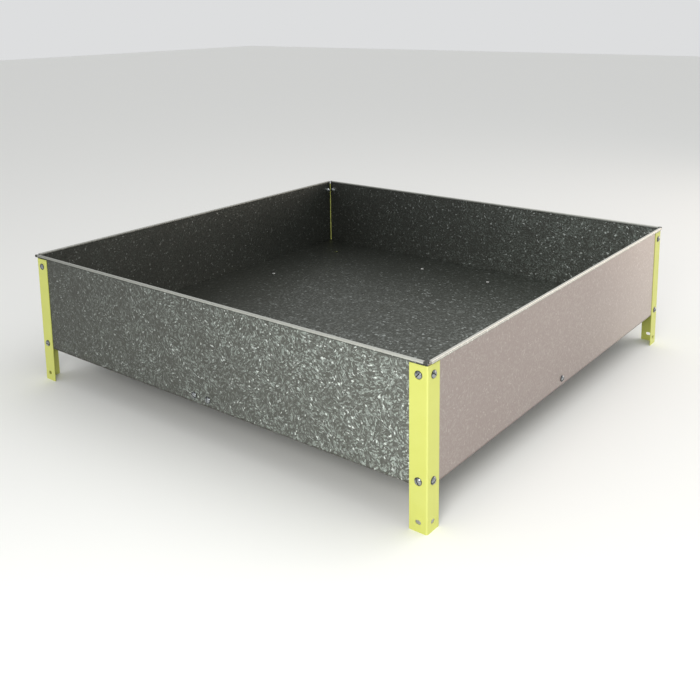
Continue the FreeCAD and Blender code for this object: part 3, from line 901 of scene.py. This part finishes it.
@dataclass
class SlottedBolts:
    """M8 roofing bolts with a mushroom head and a driver slot, heads outside.

    Attributes:
        head_diameter: Diameter of the mushroom head.
        head_height: Height of the head above its seat.
        edge_height: Height of the head's rim.
        crown_power: Power of the crown's fall; a higher one gives steeper shoulders.
        slot_width: Width of the driver slot.
        slot_depth: Depth of the driver slot below the crown.
        slot_draft: How far the slot's walls lean out on each side.
        painted_shade_power: Power that keeps the painted shade to the head's edge.
        thread_diameter: Outer diameter of the thread.
        thread_pitch: Rise of the thread in one turn.
        thread_depth: Depth of the thread.
        neck: Length of the plain neck below the head.
        tip: Length of the tapered tip.
        tip_taper: How much the tip's radius shrinks.
        length: Length of the shank below the seat.
        cad_head_sides: Number of flat sides that the CAD head's round has.
        sections: Number of the head's sections from the slot to its side.
        over_crown: Number of points over the crown in one section.
        around: Number of points round the shank.
        rows: Number of rows of points down the shank.
        finish: The bolts' finish.
        spins: Seeded source of the angle that each bolt was left at.
    """

    head_diameter: float = 16.5 * MM
    head_height: float = 4.0 * MM
    edge_height: float = 0.7 * MM
    crown_power: int = 3
    slot_width: float = 1.8 * MM
    slot_depth: float = 1.6 * MM
    slot_draft: float = 0.06 * MM
    painted_shade_power: int = 10
    thread_diameter: float = 7.8 * MM
    thread_pitch: float = 1.25 * MM
    thread_depth: float = 0.65 * MM
    neck: float = 1.5 * MM
    tip: float = 1.0 * MM
    tip_taper: float = 0.9 * MM
    length: float = 14.0 * MM
    cad_head_sides: int = 16
    sections: int = 11
    over_crown: int = 25
    around: int = 24
    rows: int = 70
    finish: ZincPlate = ZincPlate("zinc_plated_steel_bolt", "#565A5C", "#C9CDCF", 0.15)
    spins: np.random.Generator = field(default_factory=lambda: np.random.default_rng(11))

    def head(self) -> Surface:
        """Works out the mushroom head as sections carried across its slot.

        At each distance y from the middle the section is a closed loop: along the
        underside, up the rim, over the crown and down the other rim. The crown's
        height is rim + (height - rim) * (1 - (r / R)^power), and within the slot's
        width it is cut down to the slot's floor. The half width of a section is the
        chord sqrt(R^2 - y^2), so the sections close to a point at both ends.

        Returns:
            The head, with full painted shade in the slot and (r / R)^power of it elsewhere.
        """
        radius = self.head_diameter / 2
        half_slot = self.slot_width / 2
        past_slot = half_slot + self.slot_draft
        outward = np.sin(np.linspace(0, math.pi / 2, self.sections))
        beyond = past_slot + (radius - past_slot) * outward
        inside = np.array([0.0, half_slot - self.slot_draft])
        y = np.concatenate((-beyond[::-1], -inside[:0:-1], inside, beyond))
        share = np.sin(np.linspace(-math.pi / 2, math.pi / 2, self.over_crown))
        chord = np.sqrt(np.clip(radius**2 - y**2, 0, None))
        x_top = chord[:, None] * share[None, :]
        reach = np.sqrt(x_top**2 + y[:, None] ** 2) / radius
        rise = self.head_height - self.edge_height
        z_top = self.edge_height + rise * (1 - np.clip(reach, 0, 1) ** self.crown_power)
        floor = self.head_height - self.slot_depth
        in_slot = np.abs(y)[:, None] < half_slot
        z_top = np.where(in_slot, np.minimum(z_top, floor), z_top)
        x_low = chord[:, None] * share[None, ::-4]
        x = np.concatenate((x_top, x_low), axis=1)
        z = np.concatenate((z_top, np.zeros_like(x_low)), axis=1)
        spread = np.broadcast_to(y[:, None], x.shape)
        points = np.stack((x, spread, z), axis=-1).reshape(-1, 3)
        reach_all = np.clip(np.sqrt(x**2 + spread**2) / radius, 0, 1)
        # Painted shade: full in the slot's recess, and growing towards the head's edge.
        painted_shade = np.where(in_slot, 1.0, reach_all**self.painted_shade_power).ravel()
        return Surface(points, grid_faces(*x.shape, wrap=True), painted_shade)

    def shank(self) -> Surface:
        """Works out the threaded shank as a tube about -Z.

        Its radius is the outer radius less the thread's depth times a triangle wave
        of (depth below the seat / pitch - angle / full turn), fading in below a plain
        neck and tapering at the tip, where the rows close to a point.

        Returns:
            The shank, without painted shade.
        """
        angle = np.linspace(0, 2 * math.pi, self.around, endpoint=False)
        down = np.linspace(0, self.length, self.rows)
        phase = down[:, None] / self.thread_pitch - angle[None, :] / (2 * math.pi)
        wave = 2 * np.abs((phase % 1.0) - 0.5)
        fade = np.clip((down - self.neck) / self.thread_pitch, 0, 1)[:, None]
        tip = np.clip((down - self.length + self.tip) / self.tip, 0, 1)[:, None]
        full = self.thread_diameter / 2
        threaded = full - self.thread_depth * wave * fade
        radius = np.minimum(threaded, full - self.tip_taper * tip)
        rings = np.concatenate((radius[:1] * 0, radius, radius[-1:] * 0))
        depth = np.concatenate((down[:1], down, down[-1:]))[:, None] * np.ones_like(angle)
        points = np.stack((rings * np.cos(angle), rings * np.sin(angle), -depth), axis=-1)
        faces = grid_faces(*rings.shape, wrap=True)
        return Surface(points.reshape(-1, 3), faces, np.zeros(rings.size))

    def places(self, node: str) -> list[Place]:
        """Finds the bolts of a node; their CAD heads have flat sides."""
        reach = self.head_diameter / 2 * math.cos(math.pi / self.cad_head_sides)
        return places_on(node, reach, self.head_height)

    def build(self, nodes: list[str]) -> None:
        """Builds, dresses and declares one piece for each bolt node.

        Args:
            nodes: The CAD nodes that the pieces replace.
        """
        bolt = joined([self.head(), self.shank()])
        material = self.finish.material()
        for node in nodes:
            copies = [
                bolt.placed(place.turn(self.spins.uniform(0, math.pi)), np.array(place.seat))
                for place in self.places(node)
            ]
            piece = make_piece(node + "_turned", joined(copies), crease=40)
            dress(piece, material)
            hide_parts(node)
            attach(piece, BODY)
            log.info("%s: %d slotted bolts", node, len(copies))


@dataclass
class HexNuts:
    """M8 hex nuts with chamfered corners, inside the panels.

    Attributes:
        flats: Width across the flats.
        height: Height of a nut.
        bore: Diameter of the threaded bore.
        sink: Width and depth of the countersink at each end of the bore.
        chamfer_from: Where the corner chamfer starts, as a share of the half flats.
        chamfer_slope: Fall of the corner chamfer for each unit outwards.
        chamfer_mm: Depths of the first and last row of points along the chamfer.
        flat_mm: Depth from which the flats run straight.
        around: Number of sections round a nut.
        most_turn: How far a nut may be turned from upright, in radians.
        finish: The nuts' finish.
        spins: Seeded source of the angle that each nut was left at.
    """

    flats: float = 13.0 * MM
    height: float = 6.5 * MM
    bore: float = 8.0 * MM
    sink: float = 0.5 * MM
    chamfer_from: float = 0.95
    chamfer_slope: float = math.tan(math.radians(30))
    chamfer_mm: Span = (0.02, 0.65)
    flat_mm: float = 1.6
    around: int = 72
    most_turn: float = 0.5
    finish: ZincPlate = ZincPlate("bright_zinc_plated_steel_nut", "#B4B8BA", "#E4E8EA", 0.22)
    spins: np.random.Generator = field(default_factory=lambda: np.random.default_rng(23))

    def body(self) -> Surface:
        """Works out a nut as closed sections carried round its axis.

        The hexagon's radius is half the flats over the cosine of the angle to the
        nearest flat's middle. Near both ends it is held under a cone, which leaves the
        curved chamfer of a real nut. The bore has a small countersink at each end.

        Returns:
            The nut, without painted shade.
        """
        angle = np.linspace(0, 2 * math.pi, self.around, endpoint=False)
        off_flat = (angle + math.pi / 6) % (math.pi / 3) - math.pi / 6
        hexagon = self.flats / 2 / np.cos(off_flat)
        chamfer_rows = np.linspace(*self.chamfer_mm, 5) * MM
        from_face = np.concatenate(([0.0], chamfer_rows, [self.flat_mm * MM]))
        outer_z = np.concatenate((from_face, self.height - from_face[::-1]))
        from_end = np.minimum(outer_z, self.height - outer_z)
        cone = self.chamfer_from * self.flats / 2 + from_end / self.chamfer_slope
        outer = np.minimum(hexagon[None, :], cone[:, None])
        inner_z = np.array([self.height, self.height - self.sink, self.sink, 0.0])
        widening = np.array([1.0, 0.0, 0.0, 1.0])[:, None] * self.sink
        inner = (self.bore / 2 + widening) * np.ones_like(angle)
        radius = np.concatenate((outer, inner, outer[:1]))
        z = np.concatenate((outer_z, inner_z, outer_z[:1]))[:, None] * np.ones_like(angle)
        points = np.stack((radius * np.cos(angle), radius * np.sin(angle), z), axis=-1)
        faces = grid_faces(*radius.shape, wrap=True)
        return Surface(points.reshape(-1, 3), faces, np.zeros(radius.size))

    def build(self, bolts: SlottedBolts, pairs: dict[str, str]) -> None:
        """Builds, dresses and declares one piece for each nut node.

        A nut sits on its bolt's axis, with its outer end on the node's outermost side.

        Args:
            bolts: The bolts that the nuts are screwed on.
            pairs: Each nut node with the bolt node that it belongs to.
        """
        inward = self.body()
        inward.points[:, 2] *= -1
        material = self.finish.material()
        for node, bolt_node in pairs.items():
            low, high = (np.array(corner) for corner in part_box(node))
            outermost = np.where(low + high > 0, high, low)
            copies = [
                inward.placed(
                    place.turn(self.spins.uniform(-self.most_turn, self.most_turn)),
                    np.where(place.face.value, outermost, place.seat),
                )
                for place in bolts.places(bolt_node)
            ]
            piece = make_piece(node + "_chamfered", joined(copies), crease=35)
            dress(piece, material)
            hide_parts(node)
            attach(piece, BODY)
            log.info("%s: %d hex nuts", node, len(copies))


# ------------------------------------------------------------------- sheet metal and posts


@dataclass
class SidePanels:
    """The four folded side panels, which keep their CAD shapes.

    Attributes:
        sheet: Finish of the front, back and left panels.
        reflecting_sheet: Finish of the right panel, whose outer face has a painted reflection.
    """

    sheet: GalvanisedSheet = GalvanisedSheet("galvanised_sheet_spangled")
    reflecting_sheet: GalvanisedSheet = GalvanisedSheet(
        "galvanised_sheet_painted_reflection",
        # Brighter painted highlight on the rim, broken by a darker line 2 mm below its top.
        rim="#D6D4CC",
        rim_tones=(
            (6.4, 0.0, 0.0),
            (6.0, 0.35, 0.0),
            (4.8, 0.0, 0.7),
            (3.0, 0.0, 0.75),
            (2.0, 0.0, 0.45),
            (0.6, 0.0, 0.95),
        ),
        smooth=0.3,
        dull=0.42,
        # Painted reflection: a paler, lit copy of the sheet over the right outer face.
        painted_reflection=0.86,
    )

    def build(self) -> None:
        """Dresses each panel with its own sheet."""
        plain = self.sheet.material()
        dress_nodes(["panel_front", "panel_back", "panel_left"], plain)
        dress_nodes(["panel_right"], self.reflecting_sheet.material())


@dataclass
class CornerPosts:
    """The four folded angle posts, which keep their CAD shapes.

    Attributes:
        coat: The posts' finish.
    """

    coat: PowderCoat = PowderCoat()

    def build(self, nodes: list[str]) -> None:
        """Dresses the posts, given as CAD nodes, with the powder coat."""
        dress_nodes(nodes, self.coat.material())


@dataclass
class FloorTrays:
    """The two folded floor trays and their stiffeners, which keep their CAD shapes.

    Attributes:
        sheet: Finish of the trays and the stiffeners.
    """

    sheet: GalvanisedSheet = GalvanisedSheet(
        "galvanised_floor_sheet",
        dark="#5A5C56",
        light="#8F938E",
        glint="#B4B9B5",
        # Weaker painted shade along the lower edge.
        foot_shade=0.3,
    )

    def build(self, nodes: list[str]) -> None:
        """Dresses the trays and the stiffeners, given as CAD nodes."""
        dress_nodes(nodes, self.sheet.material())


# --------------------------------------------------------------------------------- studio


@dataclass(frozen=True)
class Softbox:
    """One square softbox.

    Attributes:
        name: The light's name.
        at: Its place.
        aim: The point that it faces.
        size: Its side.
        power: Its power in watts.
        colour: Its colour.
    """

    name: str
    at: Point
    aim: Point
    size: float
    power: float
    colour: str

    def hang(self) -> None:
        """Makes the light and hangs it, out of the camera's sight."""
        lamp = bpy.data.lights.new(self.name, "AREA")
        lamp.size = self.size
        lamp.energy = self.power
        lamp.color = linear(self.colour)[:3]
        holder = bpy.data.objects.new(self.name, lamp)
        holder.location = self.at
        towards = Vector(self.aim) - Vector(self.at)
        holder.rotation_euler = towards.to_track_quat("-Z", "Y").to_euler()
        holder.visible_camera = False
        bpy.context.scene.collection.objects.link(holder)


@dataclass
class Studio:
    """A pale floor, soft lights and the camera.

    Attributes:
        floor_size: Side of the square floor.
        paint: The floor's finish.
        softboxes: The lights.
        room_colour: Colour of the room's even light.
        room_light: Strength of that light.
        dim_way: Direction from the bed in which the room is dimmer.
        dim_light: Strength of the light from there.
        dim_between: Cosines of the angle to that direction, where the light starts to
            fade and where it has faded.
        image_px: Side of the picture.
        sensor_mm: Width of the camera's sensor.
        focal_px: Focal length in the picture's pixels.
        camera_at: Place of the camera.
        yaw: Turn of the view to the left of +Y, in degrees.
        pitch: Rise of the view above the horizon, in degrees.
        roll: Turn of the view about its own axis, in degrees.
        shift: Vertical lens shift, as a share of the picture.
    """

    floor_size: float = 30.0
    paint: StudioPaint = StudioPaint()
    softboxes: tuple[Softbox, ...] = (
        Softbox("overhead", (1.5, 0.6, 3.2), (0.3, 0, 0), 3.0, 34, "#FFFFFF"),
        Softbox("near_corner", (1.25, -2.2, 1.2), (0.5, -0.8, 0.0), 0.8, 24, "#FFFEFA"),
        Softbox("low_right", (2.1, 3.0, 0.9), (0.6, 0.1, 0.2), 2.2, 24, "#FFEBDC"),
    )
    room_colour: str = "#F4F5F6"
    room_light: float = 0.8
    dim_way: Point = (-0.95, -0.31, 0.0)
    dim_light: float = 0.35
    dim_between: Span = (0.66, 0.96)
    image_px: float = 700.0
    sensor_mm: float = 36.0
    focal_px: float = 890.7
    camera_at: Point = (1.4135, -1.8578, 0.9595)
    yaw: float = 38.017
    pitch: float = -10.675
    roll: float = -0.686
    shift: float = -0.25

    def floor(self) -> None:
        """Lays the floor as one square face."""
        half = self.floor_size / 2
        corners = np.array([(-1, -1, 0), (1, -1, 0), (1, 1, 0), (-1, 1, 0)]) * half
        square = Surface(corners, np.array([[0, 1, 2, 3]]), np.zeros(4))
        piece = make_piece("floor", square, crease=30)
        dress(piece, self.paint.material())

    def room(self) -> None:
        """Sets the room's even light, dimmer on one side as with a dark wall there."""
        world = bpy.data.worlds.new("studio_room")
        world.use_nodes = True
        recipe = Recipe(world.node_tree, source="Generated")
        along_dim_way = recipe.add(
            "VectorMath", {0: recipe.place, 1: self.dim_way}, operation="DOT_PRODUCT"
        ).outputs["Value"]
        strength = recipe.add(
            "MapRange",
            {
                "Value": along_dim_way,
                **bounds(self.dim_between, (self.room_light, self.dim_light)),
            },
            interpolation_type="SMOOTHSTEP",
        )
        background = recipe.add(
            "Background", {"Color": linear(self.room_colour), "Strength": strength}
        )
        recipe.add("OutputWorld", {"Surface": background})
        bpy.context.scene.world = world
        bpy.context.scene.view_settings.view_transform = "Standard"

    def camera(self) -> None:
        """Sets the camera at the photograph's viewpoint.

        The view looks along (-sin yaw cos pitch, cos yaw cos pitch, sin pitch), with
        its right side level before the roll.
        """
        yaw, pitch, roll = (math.radians(a) for a in (self.yaw, self.pitch, self.roll))
        forward = Vector(
            (
                -math.sin(yaw) * math.cos(pitch),
                math.cos(yaw) * math.cos(pitch),
                math.sin(pitch),
            )
        )
        right = Vector((math.cos(yaw), math.sin(yaw), 0.0))
        up = right.cross(forward)
        rolled_right = math.cos(roll) * right + math.sin(roll) * up
        rolled_up = math.cos(roll) * up - math.sin(roll) * right
        axes = Matrix((rolled_right, rolled_up, -forward)).transposed()
        lens = bpy.data.cameras.new("photo_camera")
        lens.sensor_width = self.sensor_mm
        lens.lens = self.focal_px / self.image_px * self.sensor_mm
        lens.shift_y = self.shift
        holder = bpy.data.objects.new("photo_camera", lens)
        holder.matrix_world = Matrix.Translation(self.camera_at) @ axes.to_4x4()
        bpy.context.scene.collection.objects.link(holder)
        bpy.context.scene.camera = holder

    def build(self) -> None:
        """Builds the floor, the lights, the room's light and the camera."""
        self.floor()
        for softbox in self.softboxes:
            softbox.hang()
        self.room()
        self.camera()
        log.info("studio ready")


def named(prefix: str) -> list[str]:
    """Lists the CAD nodes whose names start with a prefix."""
    return sorted(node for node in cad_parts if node.startswith(prefix))


def main() -> None:
    """Builds and dresses the bed from the ground up, then the studio round it."""
    logging.basicConfig(level=logging.INFO, format="%(name)s: %(message)s")
    CornerPosts().build(named("corner_post_"))
    SidePanels().build()
    FloorTrays().build(named("floor_tray_") + named("tray_stiffener_"))
    bolts = SlottedBolts()
    bolt_nodes = named("post_bolts_") + named("mid_bolts_")
    bolts.build(bolt_nodes)
    HexNuts().build(bolts, {node.replace("bolts", "nuts"): node for node in bolt_nodes})
    Studio().build()


if __name__ == "__main__":
    main()
